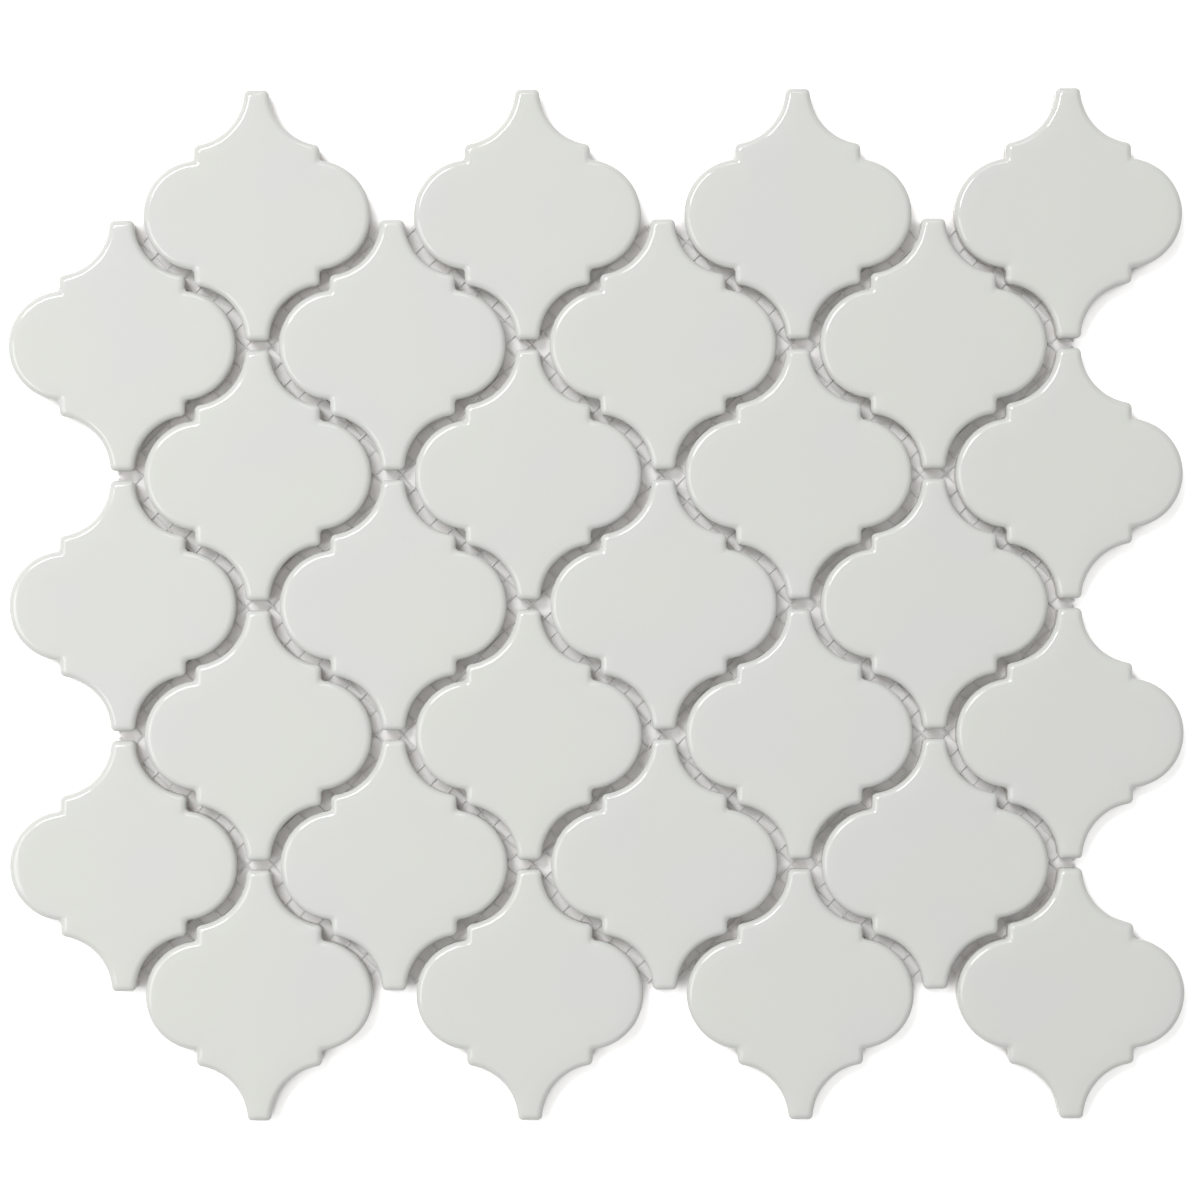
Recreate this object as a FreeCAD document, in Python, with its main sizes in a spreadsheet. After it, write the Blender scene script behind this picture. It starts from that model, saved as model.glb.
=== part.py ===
"""Mosaic sheet of lantern-shaped arabesque tiles on an open fibre net.

Glazed tiles from one mould stand in staggered columns, long and short ones in turn.
Millimetres, +Z up. The origin is under the middle of the sheet, on the net's underside.
The glazed faces look up, +X runs across the columns and +Y along them.
"""
import FreeCAD, Part
import math
import os
import Sketcher

# Driving dimensions: alias, value in millimetres or a plain count, meaning
DRIVING = [
    ("column_count", 8, "columns of tiles, every second one a tile longer"),
    ("long_column_tiles", 4, "tiles in a long column"),
    ("tile_width", 54.25, "tile over its two round side lobes"),
    ("tile_length", 59.75, "tile from tip to tip"),
    ("tile_thickness", 5.6, "fired body with its glaze"),
    ("tip_width", 5.75, "flat end of a tip"),
    ("step_height", 3.6, "small upright step, from the top of the lobe to the bottom of the neck"),
    ("joint_width", 2.25, "open joint between neighbouring tiles"),
    ("shoulder_joint", 1.2, "narrower joint where a neck passes over the next tile's lobe"),
    ("edge_run", 1.3, "eased glazed edge, measured on the face"),
    ("edge_drop", 0.8, "eased glazed edge, measured down the side"),
    ("thread_pitch", 4.4, "spacing of the net's threads"),
    ("thread_width", 0.5, "flattened thread, across"),
    ("thread_thickness", 0.2, "flattened thread, one layer"),
    ("net_margin", 1.2, "net trimmed back from the sheet's outline"),
]

# Sizes that follow from the driving ones: alias, formula, meaning
DERIVED = [
    ("row_pitch", "=tile_length + joint_width", "spacing of the tiles in one column"),
    ("column_pitch", "=(tile_width + tip_width) / 2 + joint_width", "spacing of neighbouring columns"),
    ("step_offset", "=(column_pitch - joint_width) / 2", "upright step, from the tile's middle line"),
    ("lobe_radius", "=(row_pitch / 2 - shoulder_joint - step_height) / 2", "round side lobe"),
    ("lobe_offset", "=tile_width / 2 - lobe_radius", "centre of the lobe, from the tile's middle"),
    ("neck_radius", "=lobe_radius - joint_width / 2 + shoulder_joint", "hollow curve from tip to shoulder"),
    ("neck_offset", "=tip_width / 2 + neck_radius", "centre of the neck curve, level with the tip"),
]

SHEET = "Dimensions"
TOLERANCE = 1e-4
# The numbers by which a sketch refers to a curve's points and to its own axis and origin
START, END, CENTRE = 1, 2, 3
ACROSS_AXIS, ORIGIN = -1, (-1, START)
SIDES = {"right": 1, "left": -1}
ENDS = {"top": 1, "bottom": -1}
THREAD_ANGLES = {"net_threads_rising": 45.0, "net_threads_falling": -45.0}


def make_dimensions(doc):
    """The spreadsheet that every piece takes its sizes from."""
    sheet = doc.addObject("Spreadsheet::Sheet", SHEET)
    for row, (alias, value, meaning) in enumerate(DRIVING + DERIVED, start=1):
        sheet.set(f"A{row}", meaning)
        sheet.set(f"B{row}", str(value))
        sheet.setAlias(f"B{row}", alias)
    doc.recompute()
    return sheet


def cell(alias):
    """A spreadsheet cell as expressions name it."""
    return f"{SHEET}.{alias}"


def outline_curves(sheet, growth=0.0):
    """The closed lantern outline about the origin, keyed by the name of each curve.

    growth moves the whole outline outwards by that distance.
    """
    lobe_radius = sheet.lobe_radius + growth
    neck_radius = sheet.neck_radius - growth
    step = sheet.step_offset + growth
    half_length = sheet.tile_length / 2
    slant = neck_radius * math.sqrt(0.5)
    notch = (step, math.sqrt(lobe_radius ** 2 - (step - sheet.lobe_offset) ** 2))
    shoulder = (step, half_length - math.sqrt(neck_radius ** 2 - (step - sheet.neck_offset) ** 2))
    waist = (sheet.neck_offset - slant, half_length - slant)
    tip = (sheet.neck_offset - math.sqrt(neck_radius ** 2 - growth ** 2), half_length + growth)

    def at(point, side, end):
        return FreeCAD.Vector(side * point[0], end * point[1], 0)

    curves = {}
    for end_name, end in ENDS.items():
        curves["tip", end_name] = Part.LineSegment(at(tip, -1, end), at(tip, 1, end))
        for side_name, side in SIDES.items():
            corner = at(shoulder, side, end)
            curves["neck", end_name, side_name] = Part.Arc(at(tip, side, end), at(waist, side, end), corner)
            curves["step", end_name, side_name] = Part.LineSegment(corner, at(notch, side, end))
    for side_name, side in SIDES.items():
        widest = at((sheet.lobe_offset + lobe_radius, 0), side, 1)
        curves["lobe", side_name] = Part.Arc(at(notch, side, -1), widest, at(notch, side, 1))
    return curves


def add_outline_sketch(doc, body, sheet):
    """The tile outline as a fully constrained sketch on the body's base plane."""
    sketch = body.newObject("Sketcher::SketchObject", "LanternOutline")
    base_plane = next(plane for plane in body.Origin.OriginFeatures if plane.Role == "XY_Plane")
    sketch.AttachmentSupport = [(base_plane, "")]
    sketch.MapMode = "FlatFace"
    index = {name: sketch.addGeometry(curve, False) for name, curve in outline_curves(sheet).items()}

    def join(name, other):
        """Ties the ends of two curves that meet."""
        for number in (START, END):
            point = sketch.getPoint(index[name], number)
            for other_number in (START, END):
                gap = sketch.getPoint(index[other], other_number).distanceToPoint(point)
                if gap < TOLERANCE:
                    ends = (index[name], number, index[other], other_number)
                    sketch.addConstraint(Sketcher.Constraint("Coincident", *ends))

    def bind(kind, references, label, expression):
        """Adds a named dimension that follows the spreadsheet."""
        number = sketch.addConstraint(Sketcher.Constraint(kind, *references))
        sketch.renameConstraint(number, label)
        sketch.setExpression(f"Constraints.{label}", expression)

    def hold(kind, name, number, label, expression):
        """Holds a point of a curve at a signed distance from the origin."""
        point = sketch.getPoint(index[name], number)
        value = point.x if kind == "DistanceX" else point.y
        bind(kind, (*ORIGIN, index[name], number, value), label, expression)

    for end_name, end in ENDS.items():
        tip = ("tip", end_name)
        half_length = f"{end} * {cell('tile_length')} / 2"
        sketch.addConstraint(Sketcher.Constraint("Horizontal", index[tip]))
        hold("DistanceY", tip, START, f"tip_{end_name}", half_length)
        for side_name, side in SIDES.items():
            neck = ("neck", end_name, side_name)
            step = ("step", end_name, side_name)
            label = f"{end_name}_{side_name}"
            sketch.addConstraint(Sketcher.Constraint("Vertical", index[step]))
            hold("DistanceX", step, START, f"step_{label}", f"{side} * {cell('step_offset')}")
            hold("DistanceX", neck, CENTRE, f"neck_across_{label}", f"{side} * {cell('neck_offset')}")
            hold("DistanceY", neck, CENTRE, f"neck_along_{label}", half_length)
            bind("Radius", (index[neck], sheet.neck_radius), f"neck_{label}", cell("neck_radius"))
            join(tip, neck)
            join(neck, step)
            join(step, ("lobe", side_name))
    for side_name, side in SIDES.items():
        lobe = ("lobe", side_name)
        hold("DistanceX", lobe, CENTRE, f"lobe_across_{side_name}", f"{side} * {cell('lobe_offset')}")
        sketch.addConstraint(Sketcher.Constraint("PointOnObject", index[lobe], CENTRE, ACROSS_AXIS))
        bind("Radius", (index[lobe], sheet.lobe_radius), f"lobe_{side_name}", cell("lobe_radius"))
    doc.recompute()
    return sketch


def top_face(shape):
    """Name of the level face that lies highest."""
    level = [(face.CenterOfMass.z, number) for number, face in enumerate(shape.Faces, start=1)
             if face.BoundBox.ZLength < TOLERANCE]
    return f"Face{max(level)[1]}"


def make_first_tile(doc, sheet, name):
    """One pressed and glazed lantern tile: the padded outline with an eased edge round its face."""
    body = doc.addObject("PartDesign::Body", name)
    blank = body.newObject("PartDesign::Pad", "TileBlank")
    blank.Profile = add_outline_sketch(doc, body, sheet)
    blank.setExpression("Length", cell("tile_thickness"))
    doc.recompute()
    edge = body.newObject("PartDesign::Chamfer", "EasedFaceEdge")
    edge.Base = (blank, [top_face(blank.Shape)])
    edge.ChamferType = "Two distances"
    edge.setExpression("Size", cell("edge_drop"))
    edge.setExpression("Size2", cell("edge_run"))
    doc.recompute()
    return body


def make_tile_copy(doc, first_tile, name):
    """A further tile from the same mould as the first."""
    body = doc.addObject("PartDesign::Body", name)
    copy = doc.addObject("PartDesign::FeatureBase", f"{name}_from_mould")
    copy.BaseFeature = first_tile.Tip
    body.Group = [copy]
    body.Tip = copy
    return body


def tiles_in_column(sheet, column):
    """Short and long columns take turns, a short one first."""
    return int(sheet.long_column_tiles) - (1 if column % 2 == 0 else 0)


def make_tiles(doc, sheet):
    """All tiles of the sheet: letters name the columns from -X, numbers the rows from +Y."""
    tiles = []
    for column in range(int(sheet.column_count)):
        count = tiles_in_column(sheet, column)
        for row in range(count):
            name = f"tile_{chr(ord('a') + column)}{row + 1}"
            tile = make_tile_copy(doc, tiles[0], name) if tiles else make_first_tile(doc, sheet, name)
            across = f"({column} - ({cell('column_count')} - 1) / 2) * {cell('column_pitch')}"
            along = f"({(count - 1) / 2} - {row}) * {cell('row_pitch')}"
            tile.setExpression("Placement.Base.x", across)
            tile.setExpression("Placement.Base.y", along)
            tile.setExpression("Placement.Base.z", f"2 * {cell('thread_thickness')}")
            tiles.append(tile)
    return tiles


def half_sheet(sheet):
    """Half the width and half the length of the whole sheet."""
    across = ((sheet.column_count - 1) * sheet.column_pitch + sheet.tile_width) / 2
    along = ((sheet.long_column_tiles - 1) * sheet.row_pitch + sheet.tile_length) / 2
    return across, along


def lantern_face(sheet, growth, centre):
    """A flat lantern, grown outwards, round a centre."""
    edges = [curve.toShape() for curve in outline_curves(sheet, growth).values()]
    face = Part.Face(Part.Wire(Part.__sortEdges__(edges)))
    face.translate(centre)
    return face


def net_region(sheet):
    """The net's trimmed outline: the sheet's rectangle less the places of the tiles around it."""
    columns = int(sheet.column_count)
    growth = sheet.joint_width + sheet.net_margin
    around = []
    for column in range(-2, columns + 2):
        count = tiles_in_column(sheet, column)
        for row in range(-1, count + 1):
            in_sheet = 0 <= column < columns and 0 <= row < count
            if not in_sheet:
                x = (column - (columns - 1) / 2) * sheet.column_pitch
                y = ((count - 1) / 2 - row) * sheet.row_pitch
                around.append(lantern_face(sheet, growth, FreeCAD.Vector(x, y, 0)))
    across, along = half_sheet(sheet)
    rectangle = Part.makePlane(2 * across, 2 * along, FreeCAD.Vector(-across, -along, 0))
    return rectangle.cut(around)


def make_threads(doc, sheet, region, name, layer):
    """One layer of the net: parallel flat threads, each cut off square where the region ends."""
    upward = FreeCAD.Vector(0, 0, 1)
    turn = FreeCAD.Rotation(upward, THREAD_ANGLES[name])
    along = turn.multVec(FreeCAD.Vector(1, 0, 0))
    across = turn.multVec(FreeCAD.Vector(0, 1, 0))
    reach = math.hypot(*half_sheet(sheet))
    count = int(2 * reach / sheet.thread_pitch)
    lines = []
    for number in range(count):
        middle = across * ((number - (count - 1) / 2) * sheet.thread_pitch)
        lines.append(Part.makeLine(middle - along * reach, middle + along * reach))
    to_corner = upward * (layer * sheet.thread_thickness) - across * (sheet.thread_width / 2)
    threads = []
    for stretch in Part.makeCompound(lines).common(region).Edges:
        if stretch.Length > sheet.thread_pitch:
            ends = [vertex.Point for vertex in stretch.Vertexes]
            start = min(ends, key=lambda point: point.dot(along))
            thread = Part.makeBox(stretch.Length, sheet.thread_width, sheet.thread_thickness)
            thread.Placement = FreeCAD.Placement(start + to_corner, turn)
            threads.append(thread)
    net = doc.addObject("Part::Feature", name)
    net.Shape = Part.makeCompound(threads)
    return net


def make_net(doc, sheet):
    """The open backing net: a lower and an upper layer of slanting threads under the tiles."""
    region = net_region(sheet)
    return [make_threads(doc, sheet, region, name, layer) for layer, name in enumerate(THREAD_ANGLES)]


def check(doc, parts):
    """Stops before anything is written if an object failed or a shape is not sound."""
    for item in doc.Objects:
        failed = {"Invalid", "Error"} & set(item.State)
        if failed:
            raise RuntimeError(f"{item.Label} is {failed}")
    for part in parts:
        if part.Shape.isNull() or not part.Shape.isValid() or part.Shape.Volume <= 0:
            raise RuntimeError(f"{part.Label} has no sound shape")


def main():
    doc = FreeCAD.newDocument("MosaicSheet")
    sheet = make_dimensions(doc)
    parts = make_tiles(doc, sheet) + make_net(doc, sheet)
    doc.recompute()
    check(doc, parts)
    os.makedirs("parts", exist_ok=True)
    for part in parts:
        part.Shape.exportStep(f"parts/{part.Label}.step")
    print(f"{len(parts)} pieces written")


main()
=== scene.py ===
"""Looks of a mosaic sheet: glazed lantern-shaped tiles on an open net of glass yarn.

Laid out as a Blender add-on. Metres, +Z up, in the frame of the solid model. Every tile comes from
one mould, is moved to its place by a node tree and stands for the solid there. A second tree weaves
the net's yarns along the solid threads. The sheet lies on a pale floor, and the camera looks down.
"""
import math

import bmesh
import bpy
from bpy.props import FloatProperty, FloatVectorProperty, IntProperty, PointerProperty
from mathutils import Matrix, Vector
from mathutils.geometry import delaunay_2d_cdt


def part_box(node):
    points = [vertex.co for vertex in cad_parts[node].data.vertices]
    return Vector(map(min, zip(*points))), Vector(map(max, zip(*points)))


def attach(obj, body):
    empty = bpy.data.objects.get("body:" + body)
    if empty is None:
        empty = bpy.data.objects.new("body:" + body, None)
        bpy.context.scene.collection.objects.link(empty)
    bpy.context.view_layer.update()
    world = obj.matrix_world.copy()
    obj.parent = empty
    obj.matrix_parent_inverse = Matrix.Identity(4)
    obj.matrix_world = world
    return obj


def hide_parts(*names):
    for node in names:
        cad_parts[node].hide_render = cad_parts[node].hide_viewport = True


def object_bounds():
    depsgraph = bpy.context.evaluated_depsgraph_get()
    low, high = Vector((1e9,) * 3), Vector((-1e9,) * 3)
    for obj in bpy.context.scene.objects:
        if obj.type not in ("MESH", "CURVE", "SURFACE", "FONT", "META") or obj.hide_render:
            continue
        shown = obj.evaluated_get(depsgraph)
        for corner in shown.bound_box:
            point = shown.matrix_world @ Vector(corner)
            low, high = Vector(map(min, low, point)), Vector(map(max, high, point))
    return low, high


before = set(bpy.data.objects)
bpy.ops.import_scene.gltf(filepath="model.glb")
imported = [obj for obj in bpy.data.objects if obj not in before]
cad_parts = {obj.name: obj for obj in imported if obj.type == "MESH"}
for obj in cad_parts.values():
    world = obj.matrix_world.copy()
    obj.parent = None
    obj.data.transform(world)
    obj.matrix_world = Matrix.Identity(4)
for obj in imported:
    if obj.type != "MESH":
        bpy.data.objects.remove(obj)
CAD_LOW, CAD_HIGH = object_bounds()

bl_info = {
    "name": "Arabesque Mosaic Sheet",
    "version": (1, 0, 0),
    "blender": (4, 5, 0),
    "location": "View3D > Sidebar > Mosaic",
    "description": "Presses the glazed tiles of a mosaic sheet, weaves its net and sets its stage",
    "category": "Add Mesh",
}

BODY = "root"
MILLIMETRE = 0.001
TILE_NODES = sorted(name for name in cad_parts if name.startswith("tile_"))
TILE_LOW, TILE_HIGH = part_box(TILE_NODES[0])
LOWER_THREADS, UPPER_THREADS = "net_threads_rising", "net_threads_falling"
NET_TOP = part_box(UPPER_THREADS)[1].z
WHITE = (1.0, 1.0, 1.0, 1.0)

# The part of 0 to 1 that soft noise really spans, because it keeps near the middle
NOISE_LOW, NOISE_HIGH = 0.3, 0.7

# Waves to the metre of what makes tiles and net uneven
RIPPLE_WAVES = 45.0
WAVER_WAVES = 95.0
SWAY_WAVES = 55.0

# The lip in which the glaze ends: its width as a share of the glaze's build, its heights as shares of
# that width
LIP_WIDTH = 0.5
LIP_START = 0.3
LIP_END = 2.0

# How finely the mould is cut: its edge and rim arcs, and the grid of points on its face
EDGE_CUTS, RIM_CUTS = 3, 9
FACE_GRID = 1.6 * MILLIMETRE
GRID_CLEARANCE = 0.6
SHARP_ANGLE = math.radians(35.0)

YARN_SIDES = 8
WELD_DISTANCE = 0.001 * MILLIMETRE


def length_setting(name, description, default):
    """A distance that the user can change."""
    return FloatProperty(
        name=name, description=description, default=default, min=0.0, unit="LENGTH", precision=5)


def colour_setting(name, description, default):
    """A linear colour that the user can change."""
    return FloatVectorProperty(
        name=name, description=description, default=default, subtype="COLOR", min=0.0, max=1.0)


class TileSettings(bpy.types.PropertyGroup):
    """Sizes and finish of one tile"""

    width: length_setting("Width", "Tile over its two round side lobes", TILE_HIGH.x - TILE_LOW.x)
    length: length_setting("Length", "Tile from tip to tip", TILE_HIGH.y - TILE_LOW.y)
    thickness: length_setting("Thickness", "Fired body with its glaze", TILE_HIGH.z - TILE_LOW.z)
    tip_width: length_setting("Tip width", "Flat end of a tip", 5.75 * MILLIMETRE)
    step_height: length_setting("Step height", "Upright step between lobe and neck", 3.6 * MILLIMETRE)
    joint: length_setting("Joint", "Open joint between neighbouring tiles", 2.25 * MILLIMETRE)
    shoulder_joint: length_setting("Shoulder joint", "Joint where a neck passes a lobe", 1.2 * MILLIMETRE)
    tip_corner: length_setting("Tip corner", "Rounding of the tip's corners in plan", 1.2 * MILLIMETRE)
    shoulder_corner: length_setting("Shoulder corner", "Rounding of the shoulders in plan", 1.4 * MILLIMETRE)
    notch_corner: length_setting("Notch corner", "Rounding of the notches over the lobes", 0.9 * MILLIMETRE)
    rim_run: length_setting("Rim run", "Width of the rounded glazed rim", 1.55 * MILLIMETRE)
    rim_slope: FloatProperty(name="Rim slope", description="Slope of the rim where it meets the side",
                             default=math.radians(60.0), subtype="ANGLE")
    edge_radius: length_setting("Edge radius", "Tight rounding from the rim into the side", 0.25 * MILLIMETRE)
    crown: length_setting("Crown", "Swell of the face above its rim", 0.14 * MILLIMETRE)
    crown_reach: length_setting("Crown reach", "How far in from the rim the swell goes on", 4.0 * MILLIMETRE)
    ripple: length_setting("Ripple", "Depth of the slow waves in the glaze", 0.03 * MILLIMETRE)
    waver: length_setting("Waver", "How far the sides draw in unevenly in the firing", 0.1 * MILLIMETRE)
    bare_foot: length_setting("Bare foot", "Unglazed height above the back", 2.2 * MILLIMETRE)
    glaze_build: length_setting("Glaze build", "How far the glaze overhangs the foot", 0.12 * MILLIMETRE)
    foot_bevel: length_setting("Foot bevel", "Bevel round the back", 0.4 * MILLIMETRE)
    glaze: colour_setting("Glaze", "Glossy off-white glaze", (0.650, 0.658, 0.619))
    glaze_cool: colour_setting("Cool glaze", "Glaze where it pools a little thicker", (0.647, 0.653, 0.630))
    # Painted shade: the rim's glaze is darkened towards its outer edge, dimming the lit rim and deepening the
    # shaded one.
    rim_shade_glaze: colour_setting("Thin glaze", "Glaze that has run thin over the rim", (0.628, 0.634, 0.606))
    biscuit: colour_setting("Biscuit", "Bare fired body", (0.680, 0.630, 0.580))
    seed: IntProperty(name="Seed", description="Start of the tiles' random draws", default=11)


class NetSettings(bpy.types.PropertyGroup):
    """Sizes and finish of the backing net"""

    pitch: length_setting("Pitch", "Spacing of the yarns", 4.4 * MILLIMETRE)
    yarn_width: length_setting("Yarn width", "Flattened yarn, across", 0.46 * MILLIMETRE)
    yarn_height: length_setting("Yarn height", "Flattened yarn, through", NET_TOP / 2)
    sample: length_setting("Sample", "Spacing of the points along a yarn", 1.1 * MILLIMETRE)
    sway: length_setting("Sway", "How far the net is pulled out of square", 0.7 * MILLIMETRE)
    yarn: colour_setting("Yarn", "Resin-coated white glass yarn", (0.88, 0.88, 0.87))
    seed: IntProperty(name="Seed", description="Start of the sway's random draws", default=5)


class StageSettings(bpy.types.PropertyGroup):
    """Camera, light and floor"""

    camera_height: length_setting("Camera height", "Camera above the glazed faces", 0.7)
    view_width: length_setting("View width", "What the picture spans at the glazed faces", 0.2856)
    view_x: FloatProperty(name="View X", description="Middle of the picture", default=0.00091, unit="LENGTH")
    view_y: FloatProperty(name="View Y", description="Middle of the picture", default=0.00108, unit="LENGTH")
    view_turn: FloatProperty(name="View turn", description="How far the sheet lies turned in the picture",
                             default=math.radians(0.17), subtype="ANGLE")
    zenith: FloatProperty(name="Zenith", description="Soft light from straight above", default=0.60, min=0.0)
    horizon: FloatProperty(name="Horizon", description="Soft light from the sides", default=0.24, min=0.0)
    floor: colour_setting("Floor", "Pale matt floor", (0.93, 0.93, 0.925))
    floor_glow: FloatProperty(name="Floor glow", description="White that the camera adds to the open floor",
                              default=0.5, min=0.0, max=1.0, subtype="FACTOR")
    glow_reach: length_setting("Glow reach", "How near to the tiles the floor isn't open", 8.0 * MILLIMETRE)


def add_node(tree, kind, inputs=None, **settings):
    """A node with its settings, each input either set to a value or linked from a socket."""
    node = tree.nodes.new(kind)
    for name, value in settings.items():
        setattr(node, name, value)
    for key, value in (inputs or {}).items():
        if isinstance(value, bpy.types.NodeSocket):
            tree.links.new(value, node.inputs[key])
        else:
            node.inputs[key].default_value = value
    return node


def add_math(tree, operation, first, second=0.0, third=0.0):
    """The result of a sum on numbers."""
    return add_node(tree, "ShaderNodeMath", {0: first, 1: second, 2: third}, operation=operation).outputs[0]


def add_vector_math(tree, operation, first, second):
    """The result of a sum on two vectors, or on a vector and the number that scales it."""
    second_input = "Scale" if operation == "SCALE" else 1
    node = add_node(tree, "ShaderNodeVectorMath", {0: first, second_input: second}, operation=operation)
    return node.outputs["Value" if operation == "DOT_PRODUCT" else "Vector"]


def add_ramp(tree, factor, stops):
    """A colour ramp through (position, colour) stops."""
    node = add_node(tree, "ShaderNodeValToRGB", {"Fac": factor})
    elements = node.color_ramp.elements
    while len(elements) < len(stops):
        elements.new(1.0)
    for element, (position, colour) in zip(elements, stops):
        element.position = position
        element.color = (*colour, 1.0)
    return node.outputs["Color"]


def add_range(tree, noise, low, high):
    """Spreads soft noise over a range of numbers."""
    inputs = {"Value": noise, "From Min": NOISE_LOW, "From Max": NOISE_HIGH, "To Min": low, "To Max": high}
    return add_node(tree, "ShaderNodeMapRange", inputs).outputs["Result"]


def add_noise(tree, vector, waves, detail=2.0):
    """Soft noise with this many waves to the metre."""
    inputs = {"Vector": vector, "Scale": waves, "Detail": detail}
    return add_node(tree, "ShaderNodeTexNoise", inputs).outputs["Fac"]


def add_seeded_noise(tree, vector, seed, waves, detail=1.0):
    """Soft noise that each seed draws anew: its outputs."""
    inputs = {"Vector": vector, "W": seed, "Scale": waves, "Detail": detail}
    return add_node(tree, "ShaderNodeTexNoise", inputs, noise_dimensions="4D").outputs


def new_material(name):
    """A material with a principled shader, and its place coordinates."""
    material = bpy.data.materials.new(name)
    material.use_nodes = True
    tree = material.node_tree
    tree.nodes.clear()
    shader = add_node(tree, "ShaderNodeBsdfPrincipled")
    add_node(tree, "ShaderNodeOutputMaterial", {"Surface": shader.outputs["BSDF"]})
    place = add_node(tree, "ShaderNodeTexCoord").outputs["Object"]
    return material, tree, shader, place


def mesh_value(tree, name):
    """A number that the mesh carries, as a material reads it."""
    return add_node(tree, "ShaderNodeAttribute", attribute_name=name).outputs["Fac"]


def darker(colour, share):
    """A colour of which this share is left."""
    return [channel * share for channel in colour]


def set_bump(tree, shader, height, distance, strength):
    """Relief that is too fine for the mesh."""
    inputs = {"Height": height, "Distance": distance, "Strength": strength}
    bump = add_node(tree, "ShaderNodeBump", inputs)
    tree.links.new(bump.outputs["Normal"], shader.inputs["Normal"])


def glaze_material(settings):
    """Glossy off-white glaze, softly pooled on the face and darkened towards the rim's outer edge as painted
    shade, with a faint orange peel.
    """
    pooling_waves, polish_waves, peel_waves = 38.0, 90.0, 260.0
    smoothest, roughest, rim_wear = 0.04, 0.09, 0.02
    refraction = 1.47
    peel_depth, peel_strength = 0.05 * MILLIMETRE, 0.25

    material, tree, shader, place = new_material("gloss_glaze")
    pooling = add_noise(tree, place, pooling_waves, detail=1.0)
    pooled = add_ramp(tree, pooling, [(0.35, settings.glaze), (0.65, settings.glaze_cool)])
    # Painted shade: the colour turns from the pooled glaze to the darker rim colour towards the rim's outer
    # edge.
    rim = mesh_value(tree, "on_rim")
    colour = add_node(tree, "ShaderNodeMixRGB", {
        "Fac": rim, "Color1": pooled, "Color2": (*settings.rim_shade_glaze, 1.0)})
    tree.links.new(colour.outputs["Color"], shader.inputs["Base Color"])
    polish = add_range(tree, add_noise(tree, place, polish_waves), smoothest, roughest)
    worn = add_math(tree, "MULTIPLY_ADD", rim, rim_wear, polish)
    tree.links.new(worn, shader.inputs["Roughness"])
    shader.inputs["IOR"].default_value = refraction
    set_bump(tree, shader, add_noise(tree, place, peel_waves, detail=1.0), peel_depth, peel_strength)
    return material


def biscuit_material(settings):
    """Bare fired body: warm, matt, slightly speckled and gritty."""
    grain_waves, grit_waves = 900.0, 2600.0
    dark_share, speck_share = 0.86, 0.55
    grit_depth, grit_strength = 0.06 * MILLIMETRE, 0.6

    material, tree, shader, place = new_material("bare_biscuit")
    body = settings.biscuit
    grain = add_noise(tree, place, grain_waves, detail=4.0)
    colour = add_ramp(tree, grain, [
        (0.28, darker(body, speck_share)), (0.36, darker(body, dark_share)), (0.62, body)])
    tree.links.new(colour, shader.inputs["Base Color"])
    shader.inputs["Roughness"].default_value = 0.85
    set_bump(tree, shader, add_noise(tree, place, grit_waves, detail=3.0), grit_depth, grit_strength)
    return material


def yarn_material(settings):
    """White glass yarn: fine twisted filaments under a satin coat of resin, with painted shade in the grooves
    between the filaments.
    """
    filaments = 14.0
    twist_per_metre = 2200.0
    groove_shade_share = 0.86
    groove_depth, groove_strength = 0.02 * MILLIMETRE, 0.5

    material, tree, shader, _place = new_material("glass_yarn")
    about = add_math(tree, "MULTIPLY", mesh_value(tree, "yarn_round"), filaments * math.tau)
    along = add_math(tree, "MULTIPLY", mesh_value(tree, "yarn_along"), twist_per_metre)
    lay = add_math(tree, "ADD", about, along)
    strand = add_math(tree, "MULTIPLY_ADD", add_math(tree, "SINE", lay), 0.5, 0.5)
    # Painted shade: the colour is darker in the grooves between the filaments.
    colour = add_ramp(tree, strand, [(0.0, darker(settings.yarn, groove_shade_share)), (0.7, settings.yarn)])
    tree.links.new(colour, shader.inputs["Base Color"])
    shader.inputs["Roughness"].default_value = 0.5
    set_bump(tree, shader, strand, groove_depth, groove_strength)
    return material


def arc(centre, radius, start, end, cuts):
    """Points along an arc from one angle to another, without the last."""
    angles = [start + (end - start) * step / cuts for step in range(cuts)]
    return [centre + radius * Vector((math.cos(angle), math.sin(angle))) for angle in angles]


def line(start, end, cuts):
    """Points along a line, without the last."""
    return [start.lerp(end, step / cuts) for step in range(cuts)]


def bearing(start, end):
    """Angle of the way from one point to another, from 0 to a full turn."""
    way = end - start
    return math.atan2(way.y, way.x) % math.tau


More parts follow.
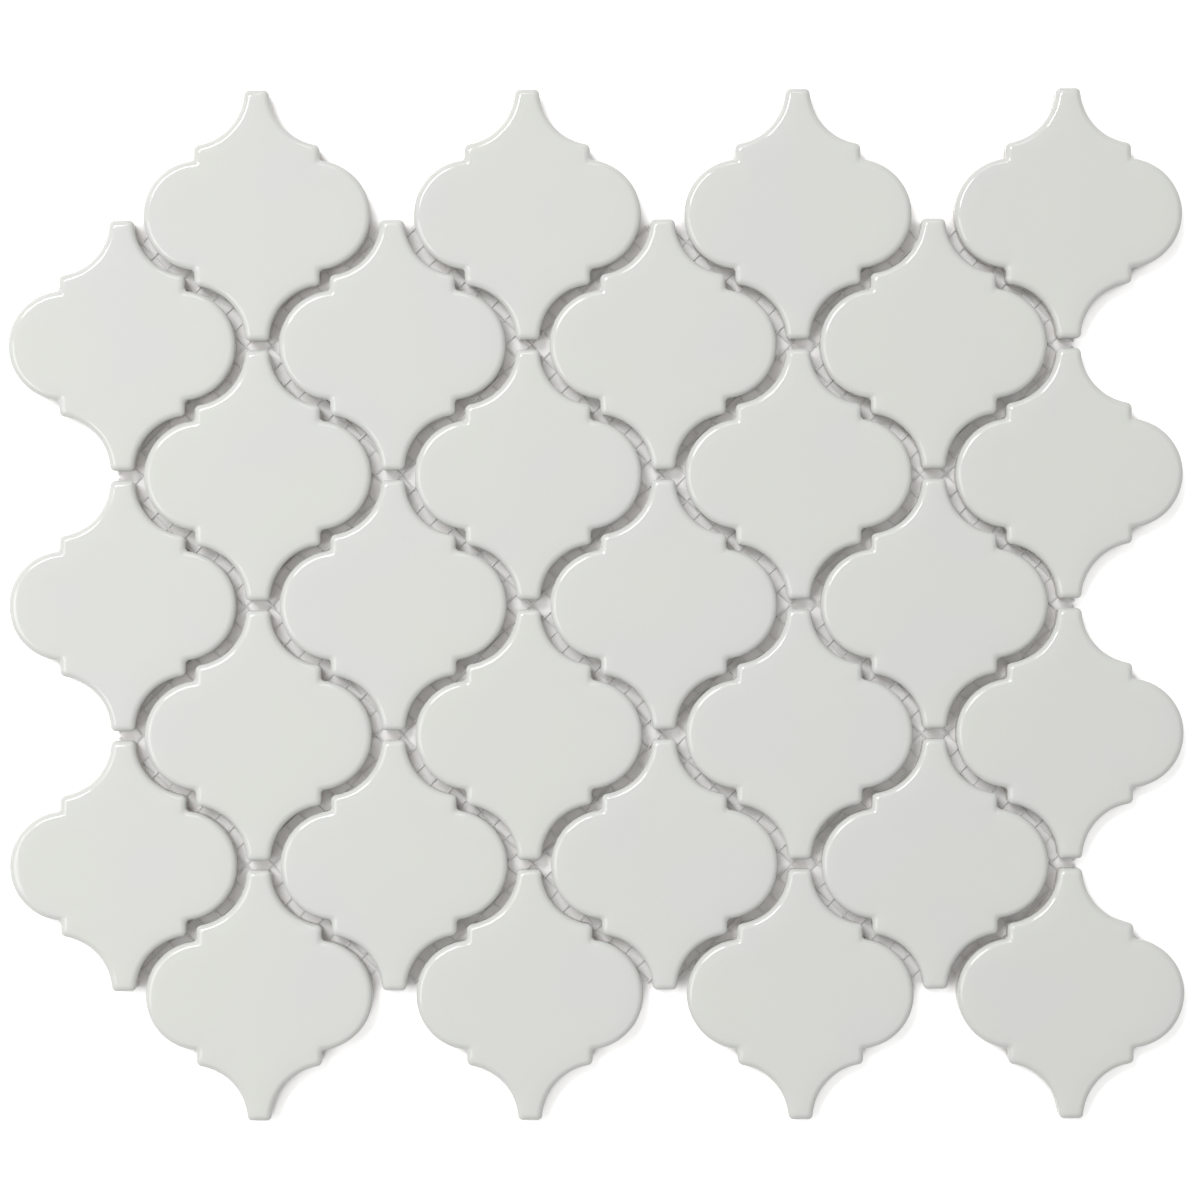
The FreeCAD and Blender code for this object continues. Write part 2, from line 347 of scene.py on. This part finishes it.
class LanternOutline:
    """The lantern outline of a tile, by the same rules as the solid, with its corners rounded."""

    # What an outer corner's rounding loses for each unit that the outline moves inwards
    CORNER_LOSS = 0.3
    # How many pieces each curve of a quarter of the outline is cut into
    LOBE_CUTS, NOTCH_CUTS, STEP_CUTS, SHOULDER_CUTS = 18, 5, 2, 7
    NECK_CUTS, TIP_CORNER_CUTS, TIP_CUTS = 14, 5, 2

    def __init__(self, tile):
        self.half_length = tile.length / 2
        self.step = (tile.width + tile.tip_width) / 4
        self.lobe_radius = ((tile.length + tile.joint) / 2 - tile.shoulder_joint - tile.step_height) / 2
        self.neck_radius = self.lobe_radius - tile.joint / 2 + tile.shoulder_joint
        self.lobe = Vector((tile.width / 2 - self.lobe_radius, 0.0))
        self.neck = Vector((tile.tip_width / 2 + self.neck_radius, self.half_length))
        self.tip_corner = tile.tip_corner
        self.shoulder_corner = tile.shoulder_corner
        self.notch_corner = tile.notch_corner

    def corner(self, radius, inset):
        """An outer corner's rounding, which grows tighter as the outline moves inwards."""
        return radius - self.CORNER_LOSS * inset

    def quarter(self, inset):
        """A quarter of the outline, moved inwards: from the side lobe's end up to the tip's middle."""
        step = self.step - inset
        tip = self.half_length - inset
        lobe_radius = self.lobe_radius - inset
        neck_radius = self.neck_radius + inset

        notch_radius = self.notch_corner
        notch_x = step + notch_radius
        notch_reach = lobe_radius + notch_radius
        notch = Vector((notch_x, math.sqrt(notch_reach ** 2 - (notch_x - self.lobe.x) ** 2)))

        shoulder_radius = self.corner(self.shoulder_corner, inset)
        shoulder_x = step - shoulder_radius
        shoulder_reach = neck_radius + shoulder_radius
        shoulder_rise = math.sqrt(shoulder_reach ** 2 - (self.neck.x - shoulder_x) ** 2)
        shoulder = Vector((shoulder_x, self.neck.y - shoulder_rise))

        tip_radius = self.corner(self.tip_corner, inset)
        tip_y = tip - tip_radius
        tip_reach = neck_radius + tip_radius
        point = Vector((self.neck.x - math.sqrt(tip_reach ** 2 - (self.neck.y - tip_y) ** 2), tip_y))

        to_shoulder, to_point = bearing(self.neck, shoulder), bearing(self.neck, point)
        tip_start = bearing(point, self.neck) % math.pi
        return [
            *arc(self.lobe, lobe_radius, 0.0, bearing(self.lobe, notch), self.LOBE_CUTS),
            *arc(notch, notch_radius, bearing(notch, self.lobe), math.pi, self.NOTCH_CUTS),
            *line(Vector((step, notch.y)), Vector((step, shoulder.y)), self.STEP_CUTS),
            *arc(shoulder, shoulder_radius, 0.0, bearing(shoulder, self.neck), self.SHOULDER_CUTS),
            *arc(self.neck, neck_radius, to_shoulder, to_point, self.NECK_CUTS),
            *arc(point, tip_radius, tip_start, math.pi / 2, self.TIP_CORNER_CUTS),
            *line(Vector((point.x, tip)), Vector((0.0, tip)), self.TIP_CUTS),
            Vector((0.0, tip)),
        ]

    def ring(self, inset):
        """The whole outline, moved inwards, anticlockwise."""
        right = self.quarter(inset)
        left = [Vector((-point.x, point.y)) for point in reversed(right[1:-1])]
        upper = right + left
        return upper + [-point for point in upper]


def skin_arc(radius, start_slope, end_slope, cuts):
    """How far an arc of the skin goes in and up, at even steps, as its slope falls."""
    found = []
    for step in range(cuts + 1):
        slope = start_slope + (end_slope - start_slope) * step / cuts
        inset = radius * (math.sin(start_slope) - math.sin(slope))
        found.append((inset, radius * (math.cos(slope) - math.cos(start_slope))))
    return found


def wall_profile(tile):
    """Where the tile's skin runs from the back up to the face: (inset, height) pairs.

    The second value says from which pair on the skin is glazed.
    """
    foot = tile.glaze_build
    lip = LIP_WIDTH * tile.glaze_build
    bare = [
        (foot + tile.foot_bevel, 0.0),
        (foot, tile.foot_bevel),
    ]
    profile = bare + [
        (foot, tile.bare_foot),
        (foot - lip, tile.bare_foot + LIP_START * lip),
        (0.0, tile.bare_foot + LIP_END * lip),
    ]
    upright = math.pi / 2
    crown_slope = math.atan2(2.0 * tile.crown, tile.crown_reach)
    edge = skin_arc(tile.edge_radius, upright, tile.rim_slope, EDGE_CUTS)
    edge_run, edge_rise = edge[-1]
    rim_reach = math.sin(tile.rim_slope) - math.sin(crown_slope)
    rim = skin_arc((tile.rim_run - edge_run) / rim_reach, tile.rim_slope, crown_slope, RIM_CUTS)
    edge_low = tile.thickness - tile.crown - rim[-1][1] - edge_rise
    profile += [(inset, edge_low + rise) for inset, rise in edge[:-1]]
    profile += [(edge_run + inset, edge_low + edge_rise + rise) for inset, rise in rim]
    return profile, len(bare)


def is_inside(point, ring):
    """Whether a plan point lies inside a closed ring."""
    crossings = 0
    for start, end in zip(ring, ring[1:] + ring[:1]):
        if (start.y > point.y) != (end.y > point.y):
            crossing = start.x + (end.x - start.x) * (point.y - start.y) / (end.y - start.y)
            crossings += crossing > point.x
    return crossings % 2 == 1


def face_grid(ring, spacing):
    """Points of a square grid that lie well inside a ring, with their distance from it."""
    rows = int(max(point.y for point in ring) / spacing)
    columns = int(max(point.x for point in ring) / spacing)
    found = []
    for row in range(-rows, rows + 1):
        for column in range(-columns, columns + 1):
            point = Vector((column * spacing, row * spacing))
            distance = min((point - other).length for other in ring)
            if distance > GRID_CLEARANCE * spacing and is_inside(point, ring):
                found.append((point, distance))
    return found


def fill(ring, points):
    """Triangles, as corner numbers, that fill a ring through its own points and those inside it."""
    inside_only, same_place = 1, 1e-9
    edges = [(index, (index + 1) % len(ring)) for index in range(len(ring))]
    result = delaunay_2d_cdt(ring + points, edges, [], inside_only, same_place)
    _places, _edges, faces, sources, *_ = result
    return [[sources[corner][0] for corner in face] for face in faces]


def make_mould(tile):
    """The tile that all others are pressed from, as a mesh about its own middle.

    Its attributes say which faces are glazed and how far a point belongs to the open face or to the rim.
    """
    outline = LanternOutline(tile)
    profile, glazed_from = wall_profile(tile)
    mesh = bmesh.new()
    glazed = mesh.faces.layers.bool.new("glazed")
    open_face = mesh.verts.layers.float.new("open_face")
    on_rim = mesh.verts.layers.float.new("on_rim")

    rings = []
    back_inset, face_inset = profile[0][0], profile[-1][0]
    for inset, height in profile:
        rings.append([mesh.verts.new((*point, height)) for point in outline.ring(inset)])
        for vertex in rings[-1]:
            vertex[on_rim] = 1.0 - inset / face_inset
    for level, (lower, upper) in enumerate(zip(rings, rings[1:])):
        for index in range(len(lower)):
            around = (index + 1) % len(lower)
            face = mesh.faces.new((lower[index], lower[around], upper[around], upper[index]))
            face[glazed] = level >= glazed_from

    top_ring = outline.ring(face_inset)
    grid = face_grid(top_ring, FACE_GRID)
    skin = list(rings[-1])
    for point, distance in grid:
        share = min(1.0, distance / tile.crown_reach)
        vertex = mesh.verts.new((*point, tile.thickness - tile.crown * (1.0 - share) ** 2))
        vertex[open_face] = share
        skin.append(vertex)
    for corners in fill(top_ring, [point for point, _ in grid]):
        mesh.faces.new([skin[corner] for corner in corners])[glazed] = True
    for corners in fill(outline.ring(back_inset), []):
        mesh.faces.new([rings[0][corner] for corner in reversed(corners)])

    data = bpy.data.meshes.new("tile_mould")
    mesh.normal_update()
    mesh.to_mesh(data)
    mesh.free()
    data.set_sharp_from_angle(angle=SHARP_ANGLE)
    return data


def new_tree(name, inputs):
    """A modifier's node tree, its input sockets by name and the outputs of its input node."""
    tree = bpy.data.node_groups.new(name, "GeometryNodeTree")
    tree.is_modifier = True
    tree.interface.new_socket("Geometry", in_out="OUTPUT", socket_type="NodeSocketGeometry")
    sockets = {}
    for label, kind in inputs.items():
        sockets[label] = tree.interface.new_socket(label, in_out="INPUT", socket_type=f"NodeSocket{kind}")
    group = add_node(tree, "NodeGroupInput")
    return tree, sockets, group.outputs


def bake(piece, tree, sockets, values):
    """Runs a node tree on a piece and keeps what it makes as the piece's own plain mesh."""
    modifier = piece.modifiers.new(tree.name, "NODES")
    modifier.node_group = tree
    for label, value in values.items():
        modifier[sockets[label].identifier] = value
    shaped = piece.evaluated_get(bpy.context.evaluated_depsgraph_get())
    piece.data = bpy.data.meshes.new_from_object(shaped)
    piece.data.name = piece.name
    piece.modifiers.remove(modifier)


def named_value(tree, name, kind):
    """A value that the mesh carries, as a node tree reads it."""
    return add_node(tree, "GeometryNodeInputNamedAttribute", {"Name": name}, data_type=kind).outputs[0]


def store_value(tree, geometry, name, value):
    """The geometry with a number kept at each of its points."""
    inputs = {"Geometry": geometry, "Name": name, "Value": value}
    node = add_node(tree, "GeometryNodeStoreNamedAttribute", inputs, data_type="FLOAT", domain="POINT")
    return node.outputs[0]


def pressing_tree():
    """Node tree that moves the mould to a tile's place and gives it its two finishes.

    On the way it ripples the open face and draws the sides in unevenly.
    """
    tree, sockets, given = new_tree("press_tile", {
        "Geometry": "Geometry", "Place": "Vector", "Ripple": "Float", "Waver": "Float", "Seed": "Float",
        "Glaze": "Material", "Biscuit": "Material",
    })
    position = add_node(tree, "GeometryNodeInputPosition").outputs[0]
    open_face = named_value(tree, "open_face", "FLOAT")
    waves = add_seeded_noise(tree, position, given["Seed"], RIPPLE_WAVES)["Fac"]
    depth = add_math(tree, "MULTIPLY", waves, given["Ripple"])
    sink = add_math(tree, "MULTIPLY", add_math(tree, "MULTIPLY", depth, open_face), -1.0)
    lift = add_node(tree, "ShaderNodeCombineXYZ", {"Z": sink}).outputs[0]

    outward = add_node(tree, "GeometryNodeInputNormal").outputs[0]
    level = add_vector_math(tree, "MULTIPLY", outward, (-1.0, -1.0, 0.0))
    shrinkage = add_seeded_noise(tree, position, given["Seed"], WAVER_WAVES)["Fac"]
    drawn = add_range(tree, shrinkage, 0.0, given["Waver"])
    beside_face = add_math(tree, "SUBTRACT", 1.0, open_face)
    inward = add_vector_math(tree, "SCALE", level, add_math(tree, "MULTIPLY", drawn, beside_face))

    shaped = add_vector_math(tree, "ADD", lift, inward)
    offset = add_vector_math(tree, "ADD", given["Place"], shaped)
    placed = add_node(tree, "GeometryNodeSetPosition", {"Geometry": given["Geometry"], "Offset": offset})
    realized = add_node(tree, "GeometryNodeRealizeInstances", {"Geometry": placed.outputs[0]})
    fired = add_node(tree, "GeometryNodeSetMaterial", {
        "Geometry": realized.outputs[0], "Material": given["Biscuit"]})
    finished = add_node(tree, "GeometryNodeSetMaterial", {
        "Geometry": fired.outputs[0], "Selection": named_value(tree, "glazed", "BOOLEAN"),
        "Material": given["Glaze"]})
    add_node(tree, "NodeGroupOutput", {"Geometry": finished.outputs[0]})
    return tree, sockets


def weaving_tree():
    """Node tree that turns straight lines into flat yarns.

    The yarns dip over and under each other in a plain weave and are pulled a little out of square.
    """
    tree, sockets, given = new_tree("weave_yarns", {
        "Geometry": "Geometry", "Pitch": "Float", "Width": "Float", "Height": "Float", "Sample": "Float",
        "Sway": "Float", "Side": "Float", "Seed": "Float", "Yarn": "Material",
    })
    lines = add_node(tree, "GeometryNodeMeshToCurve", {"Mesh": given["Geometry"]})
    threads = add_node(tree, "GeometryNodeResampleCurve", {
        "Curve": lines.outputs[0], "Length": given["Sample"]}, mode="LENGTH")
    position = add_node(tree, "GeometryNodeInputPosition").outputs[0]

    slant = math.sqrt(0.5)
    waves = []
    for direction in ((slant, slant, 0.0), (-slant, slant, 0.0)):
        along = add_vector_math(tree, "DOT_PRODUCT", position, direction)
        turns = add_math(tree, "DIVIDE", add_math(tree, "MULTIPLY", along, math.pi), given["Pitch"])
        waves.append(add_math(tree, "SINE", turns))
    weave = add_math(tree, "MULTIPLY", add_math(tree, "MULTIPLY", *waves), given["Side"])
    lift = add_math(tree, "MULTIPLY", weave, add_math(tree, "MULTIPLY", given["Height"], 0.5))
    rise = add_node(tree, "ShaderNodeCombineXYZ", {"Z": lift}).outputs[0]

    noise = add_seeded_noise(tree, position, given["Seed"], SWAY_WAVES, detail=2.0)["Color"]
    pull = add_vector_math(tree, "SUBTRACT", noise, (0.5, 0.5, 0.5))
    sway = add_vector_math(tree, "SCALE", pull, given["Sway"])
    level = add_vector_math(tree, "MULTIPLY", sway, (1.0, 1.0, 0.0))
    offset = add_vector_math(tree, "ADD", level, rise)
    woven = add_node(tree, "GeometryNodeSetPosition", {"Geometry": threads.outputs[0], "Offset": offset})
    upright = add_node(tree, "GeometryNodeSetCurveNormal", {"Curve": woven.outputs[0]}, mode="Z_UP")
    measured = add_node(tree, "GeometryNodeSplineParameter").outputs["Length"]
    marked = store_value(tree, upright.outputs[0], "yarn_along", measured)

    circle = add_node(tree, "GeometryNodeCurvePrimitiveCircle", {"Resolution": YARN_SIDES, "Radius": 0.5})
    flat = add_node(tree, "ShaderNodeCombineXYZ", {"X": given["Width"], "Y": given["Height"], "Z": 1.0})
    section = add_node(tree, "GeometryNodeTransform", {
        "Geometry": circle.outputs[0], "Scale": flat.outputs[0]})
    turn = add_node(tree, "GeometryNodeSplineParameter").outputs["Factor"]
    rounded = store_value(tree, section.outputs[0], "yarn_round", turn)

    yarns = add_node(tree, "GeometryNodeCurveToMesh", {
        "Curve": marked, "Profile Curve": rounded, "Fill Caps": True})
    smooth = add_node(tree, "GeometryNodeSetShadeSmooth", {
        "Geometry": yarns.outputs[0], "Shade Smooth": True})
    realized = add_node(tree, "GeometryNodeRealizeInstances", {"Geometry": smooth.outputs[0]})
    finished = add_node(tree, "GeometryNodeSetMaterial", {
        "Geometry": realized.outputs[0], "Material": given["Yarn"]})
    add_node(tree, "NodeGroupOutput", {"Geometry": finished.outputs[0]})
    return tree, sockets


def thread_lines(node, height):
    """The middle line of each solid thread in a node, all at one height: the corners and edges of a mesh."""
    mesh = bmesh.new()
    mesh.from_mesh(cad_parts[node].data)
    bmesh.ops.remove_doubles(mesh, verts=mesh.verts, dist=WELD_DISTANCE)
    points, edges = [], []
    waiting = set(mesh.verts)
    while waiting:
        thread, front = set(), [waiting.pop()]
        while front:
            vertex = front.pop()
            thread.add(vertex)
            near = {edge.other_vert(vertex) for edge in vertex.link_edges} & waiting
            waiting -= near
            front.extend(near)
        corners = sorted((vertex.co.x, vertex.co.y) for vertex in thread)
        half = len(corners) // 2
        for end in (corners[:half], corners[half:]):
            points.append((sum(x for x, _ in end) / half, sum(y for _, y in end) / half, height))
        edges.append((len(points) - 2, len(points) - 1))
    mesh.free()
    return points, edges


def link_object(name, data):
    """A new object at the origin of the frame."""
    piece = bpy.data.objects.new(name, data)
    bpy.context.scene.collection.objects.link(piece)
    return piece


def place_in_frame(piece, node):
    """Ties a finished piece to the body and hides the solid that it stands for."""
    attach(piece, BODY)
    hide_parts(node)


class MOSAIC_OT_press_tiles(bpy.types.Operator):
    """Press, glaze and place every tile of the sheet"""

    bl_idname = "mosaic.press_tiles"
    bl_label = "Press Tiles"

    def execute(self, context):
        tile = context.scene.mosaic_tile
        mould = make_mould(tile)
        tree, sockets = pressing_tree()
        finishes = {"Glaze": glaze_material(tile), "Biscuit": biscuit_material(tile)}
        for number, node in enumerate(TILE_NODES):
            low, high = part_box(node)
            middle = (low + high) / 2
            piece = link_object(f"glazed_{node}", mould)
            bake(piece, tree, sockets, {
                "Place": (middle.x, middle.y, low.z), "Ripple": tile.ripple, "Waver": tile.waver,
                "Seed": float(tile.seed + number), **finishes})
            place_in_frame(piece, node)
        return {"FINISHED"}


class MOSAIC_OT_weave_net(bpy.types.Operator):
    """Weave the backing net along the solid threads"""

    bl_idname = "mosaic.weave_net"
    bl_label = "Weave Net"

    # Which solid threads each set of yarns follows, and which set goes over first
    YARN_SETS = ((LOWER_THREADS, "rising_yarns", 1.0), (UPPER_THREADS, "falling_yarns", -1.0))

    def execute(self, context):
        net = context.scene.mosaic_net
        tree, sockets = weaving_tree()
        yarn = yarn_material(net)
        for node, name, side in self.YARN_SETS:
            points, edges = thread_lines(node, NET_TOP / 2)
            lines = bpy.data.meshes.new(name)
            lines.from_pydata(points, edges, [])
            piece = link_object(name, lines)
            bake(piece, tree, sockets, {
                "Pitch": net.pitch, "Width": net.yarn_width, "Height": net.yarn_height, "Sample": net.sample,
                "Sway": net.sway, "Side": side, "Seed": float(net.seed), "Yarn": yarn})
            place_in_frame(piece, node)
        return {"FINISHED"}


def add_softbox(name, azimuth, elevation, distance, width, height, power):
    """A soft light that looks at the middle of the sheet. Azimuth runs anticlockwise from +X."""
    light = bpy.data.lights.new(name, "AREA")
    light.shape = "RECTANGLE"
    light.size = width
    light.size_y = height
    light.energy = power
    lamp = link_object(name, light)
    level = math.cos(math.radians(elevation))
    way = Vector((level * math.cos(math.radians(azimuth)), level * math.sin(math.radians(azimuth)),
                  math.sin(math.radians(elevation))))
    lamp.location = way * distance
    lamp.rotation_euler = way.to_track_quat("Z", "Y").to_euler()


def seen_directly(tree):
    """1 for what the camera sees, itself or in a reflection or through glass, and 0 for diffuse light."""
    path = add_node(tree, "ShaderNodeLightPath").outputs
    mirrored = add_math(tree, "MAXIMUM", path["Is Glossy Ray"], path["Is Transmission Ray"])
    return add_math(tree, "MAXIMUM", path["Is Camera Ray"], mirrored)


def floor_material(stage):
    """Pale matt floor with a faint mottle, which reads as white in the picture and keeps the shadows. Its
    glow that only the camera sees is painted light, which whitens the open floor and its shadows and fades
    out by ambient occlusion beside and between the tiles.
    """
    mottle_waves, mottle_share = 30.0, 0.985
    shaded, in_full_view = 0.35, 0.6

    material, tree, shader, place = new_material("pale_floor")
    mottle = [(0.4, stage.floor), (0.6, darker(stage.floor, mottle_share))]
    colour = add_ramp(tree, add_noise(tree, place, mottle_waves), mottle)
    tree.links.new(colour, shader.inputs["Base Color"])
    shader.inputs["Roughness"].default_value = 0.9
    shader.inputs["Specular IOR Level"].default_value = 0.1
    shader.inputs["Emission Color"].default_value = WHITE
    # Painted light and shade: ambient occlusion fades the glow out beside and between the tiles, so the floor
    # there shows darker than in the open.
    openness = add_node(tree, "ShaderNodeAmbientOcclusion", {"Distance": stage.glow_reach}).outputs["AO"]
    in_the_open = add_node(tree, "ShaderNodeMapRange", {
        "Value": openness, "From Min": shaded, "From Max": in_full_view, "To Max": stage.floor_glow},
        interpolation_type="SMOOTHSTEP").outputs["Result"]
    glow = add_math(tree, "MULTIPLY", in_the_open, seen_directly(tree))
    tree.links.new(glow, shader.inputs["Emission Strength"])
    return material


def set_world(stage):
    """Soft light that is strongest from above, in surroundings that show as plain white."""
    world = bpy.data.worlds.new("studio")
    bpy.context.scene.world = world
    world.use_nodes = True
    tree = world.node_tree
    tree.nodes.clear()
    way = add_node(tree, "ShaderNodeTexCoord").outputs["Generated"]
    upward = add_node(tree, "ShaderNodeSeparateXYZ", {0: way}).outputs["Z"]
    height = add_math(tree, "MAXIMUM", upward, 0.0)
    level = add_math(tree, "MULTIPLY_ADD", add_math(tree, "POWER", height, 2.0),
                     stage.zenith - stage.horizon, stage.horizon)
    even = add_node(tree, "ShaderNodeBackground", {"Color": WHITE, "Strength": level})
    white = add_node(tree, "ShaderNodeBackground", {"Color": WHITE, "Strength": 1.0})
    mix = add_node(tree, "ShaderNodeMixShader", {
        0: seen_directly(tree), 1: even.outputs[0], 2: white.outputs[0]})
    add_node(tree, "ShaderNodeOutputWorld", {"Surface": mix.outputs[0]})


def set_camera(stage):
    """A camera that looks straight down on the sheet, with +Y at the top of the picture."""
    camera = bpy.data.cameras.new("camera")
    camera.sensor_width = 36.0
    camera.lens = camera.sensor_width * stage.camera_height / stage.view_width
    camera.clip_start = 0.01
    looker = link_object("camera", camera)
    looker.location = (stage.view_x, stage.view_y, CAD_HIGH.z + stage.camera_height)
    looker.rotation_euler.z = -stage.view_turn
    bpy.context.scene.camera = looker


class MOSAIC_OT_set_stage(bpy.types.Operator):
    """Set the floor, the soft lights and the camera"""

    bl_idname = "mosaic.set_stage"
    bl_label = "Set Stage"

    FLOOR_HALF = 3.0

    def execute(self, context):
        stage = context.scene.mosaic_stage
        half = self.FLOOR_HALF
        level = CAD_LOW.z
        corners = [(-half, -half, level), (half, -half, level), (half, half, level), (-half, half, level)]
        plane = bpy.data.meshes.new("floor")
        plane.from_pydata(corners, [], [(0, 1, 2, 3)])
        plane.materials.append(floor_material(stage))
        link_object("floor", plane)
        set_world(stage)
        add_softbox("key_softbox", azimuth=130.0, elevation=58.0, distance=2.6,
                    width=1.0, height=0.5, power=32.3)
        add_softbox("side_softbox", azimuth=186.0, elevation=50.0, distance=0.8,
                    width=0.4, height=0.3, power=1.57)
        add_softbox("fill_softbox", azimuth=90.0, elevation=42.0, distance=1.9,
                    width=0.6, height=0.35, power=3.7)
        set_camera(stage)
        context.scene.view_settings.view_transform = "Standard"
        return {"FINISHED"}


class MOSAIC_PT_sheet(bpy.types.Panel):
    """Steps and settings of the mosaic sheet"""

    bl_label = "Mosaic Sheet"
    bl_idname = "MOSAIC_PT_sheet"
    bl_space_type = "VIEW_3D"
    bl_region_type = "UI"
    bl_category = "Mosaic"

    def draw(self, context):
        steps = (
            ("mosaic.press_tiles", context.scene.mosaic_tile),
            ("mosaic.weave_net", context.scene.mosaic_net),
            ("mosaic.set_stage", context.scene.mosaic_stage),
        )
        for operator, settings in steps:
            box = self.layout.box()
            box.operator(operator)
            for name in settings.__annotations__:
                box.prop(settings, name)


SETTINGS = {"mosaic_tile": TileSettings, "mosaic_net": NetSettings, "mosaic_stage": StageSettings}
OPERATORS = (MOSAIC_OT_press_tiles, MOSAIC_OT_weave_net, MOSAIC_OT_set_stage)
CLASSES = (*SETTINGS.values(), *OPERATORS, MOSAIC_PT_sheet)


def register():
    for cls in CLASSES:
        bpy.utils.register_class(cls)
    for name, cls in SETTINGS.items():
        setattr(bpy.types.Scene, name, PointerProperty(type=cls))


def unregister():
    for name in SETTINGS:
        delattr(bpy.types.Scene, name)
    for cls in reversed(CLASSES):
        bpy.utils.unregister_class(cls)


def main():
    register()
    bpy.ops.mosaic.press_tiles()
    bpy.ops.mosaic.weave_net()
    bpy.ops.mosaic.set_stage()


if __name__ == "__main__":
    main()
